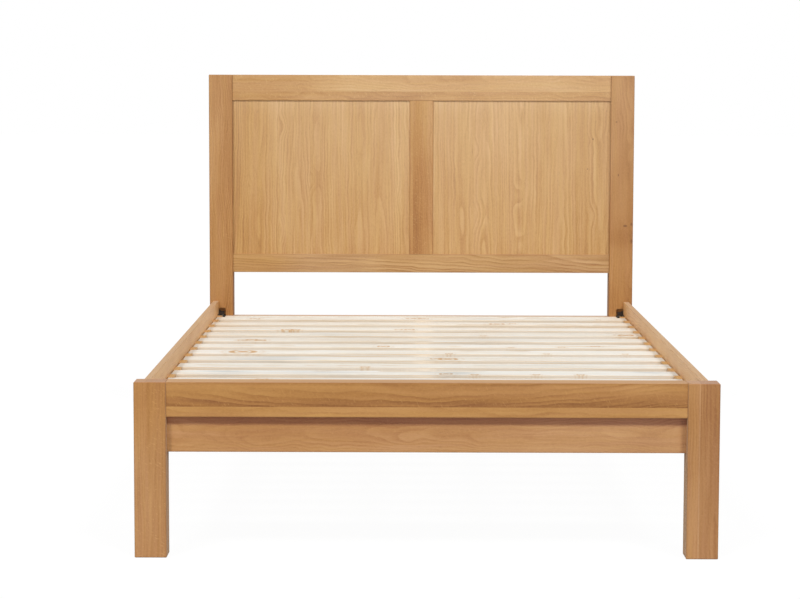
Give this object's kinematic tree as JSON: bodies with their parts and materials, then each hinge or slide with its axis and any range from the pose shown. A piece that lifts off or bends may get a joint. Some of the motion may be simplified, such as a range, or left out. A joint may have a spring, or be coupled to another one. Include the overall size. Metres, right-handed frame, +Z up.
{
  "type": "panel bed",
  "caption": "Oak double bed frame: framed panel headboard, low footboard, side rails and a deck of loose pine slats.",
  "frame": {"origin": "on the floor under the middle of the bed's outline", "axes": "+X to the right seen from the foot, +Y from the foot to the head, +Z up"},
  "size_m": [1.45, 2.04, 1.205],
  "materials": {
    "oak_post": "satin lacquer",
    "oak_rail": "satin lacquer",
    "oak_veneer_panel": "satin lacquer",
    "oak_side_rail": "satin lacquer",
    "golden_pine_batten": "satin lacquer",
    "pine_slat": "planed, bare",
    "pine_batten": "planed, bare",
    "black_steel": "satin black",
    "black_bolt": "black oxide",
    "zinc_steel": "zinc plated",
    "zinc_screw": "yellow zinc plated",
    "brass_insert": "turned",
    "beech_dowel": "fluted, bare"
  },
  "bodies": {
    "bed_frame": {"beam_hanger_foot": "zinc_steel", "beam_hanger_head": "zinc_steel", "bolt_washers": "zinc_steel", "bracket_bolts": "black_bolt", "bracket_foot_left": "black_steel", "bracket_foot_right": "black_steel", "bracket_head_left": "black_steel", "bracket_head_right": "black_steel", "bracket_screws": "zinc_screw", "centre_beam": "pine_batten", "end_batten_foot": "pine_batten", "end_batten_head": "pine_batten", "end_batten_screws": "zinc_screw", "footboard_leg_left": "oak_post", "footboard_leg_right": "oak_post", "footboard_lower_rail": "oak_rail", "footboard_top_rail": "oak_rail", "hanger_screws": "zinc_screw", "head_cross_rail": "oak_rail", "headboard_bottom_rail": "oak_rail", "headboard_muntin": "oak_rail", "headboard_panel_left": "oak_veneer_panel", "headboard_panel_right": "oak_veneer_panel", "headboard_post_left": "oak_post", "headboard_post_right": "oak_post", "headboard_top_rail": "oak_rail", "rail_dowels": "beech_dowel", "side_rail_left": "oak_side_rail", "side_rail_right": "oak_side_rail", "slat_support_left": "golden_pine_batten", "slat_support_right": "golden_pine_batten", "slat_support_screws": "zinc_screw", "threaded_inserts": "brass_insert"},
    "slat_01": {"slat_01": "pine_slat"},
    "slat_02": {"slat_02": "pine_slat"},
    "slat_03": {"slat_03": "pine_slat"},
    "slat_04": {"slat_04": "pine_slat"},
    "slat_05": {"slat_05": "pine_slat"},
    "slat_06": {"slat_06": "pine_slat"},
    "slat_07": {"slat_07": "pine_slat"},
    "slat_08": {"slat_08": "pine_slat"},
    "slat_09": {"slat_09": "pine_slat"},
    "slat_10": {"slat_10": "pine_slat"},
    "slat_11": {"slat_11": "pine_slat"},
    "slat_12": {"slat_12": "pine_slat"},
    "slat_13": {"slat_13": "pine_slat"}
  },
  "joints": [
    {"name": "slat_01_lift", "type": "slide", "parent": "bed_frame", "child": "slat_01", "axis": [0, 0, 1], "range_m": [0, 0.12]},
    {"name": "slat_02_lift", "type": "slide", "parent": "bed_frame", "child": "slat_02", "axis": [0, 0, 1], "range_m": [0, 0.12]},
    {"name": "slat_03_lift", "type": "slide", "parent": "bed_frame", "child": "slat_03", "axis": [0, 0, 1], "range_m": [0, 0.12]},
    {"name": "slat_04_lift", "type": "slide", "parent": "bed_frame", "child": "slat_04", "axis": [0, 0, 1], "range_m": [0, 0.12]},
    {"name": "slat_05_lift", "type": "slide", "parent": "bed_frame", "child": "slat_05", "axis": [0, 0, 1], "range_m": [0, 0.12]},
    {"name": "slat_06_lift", "type": "slide", "parent": "bed_frame", "child": "slat_06", "axis": [0, 0, 1], "range_m": [0, 0.12]},
    {"name": "slat_07_lift", "type": "slide", "parent": "bed_frame", "child": "slat_07", "axis": [0, 0, 1], "range_m": [0, 0.12]},
    {"name": "slat_08_lift", "type": "slide", "parent": "bed_frame", "child": "slat_08", "axis": [0, 0, 1], "range_m": [0, 0.12]},
    {"name": "slat_09_lift", "type": "slide", "parent": "bed_frame", "child": "slat_09", "axis": [0, 0, 1], "range_m": [0, 0.12]},
    {"name": "slat_10_lift", "type": "slide", "parent": "bed_frame", "child": "slat_10", "axis": [0, 0, 1], "range_m": [0, 0.12]},
    {"name": "slat_11_lift", "type": "slide", "parent": "bed_frame", "child": "slat_11", "axis": [0, 0, 1], "range_m": [0, 0.12]},
    {"name": "slat_12_lift", "type": "slide", "parent": "bed_frame", "child": "slat_12", "axis": [0, 0, 1], "range_m": [0, 0.12]},
    {"name": "slat_13_lift", "type": "slide", "parent": "bed_frame", "child": "slat_13", "axis": [0, 0, 1], "range_m": [0, 0.12]}
  ]
}
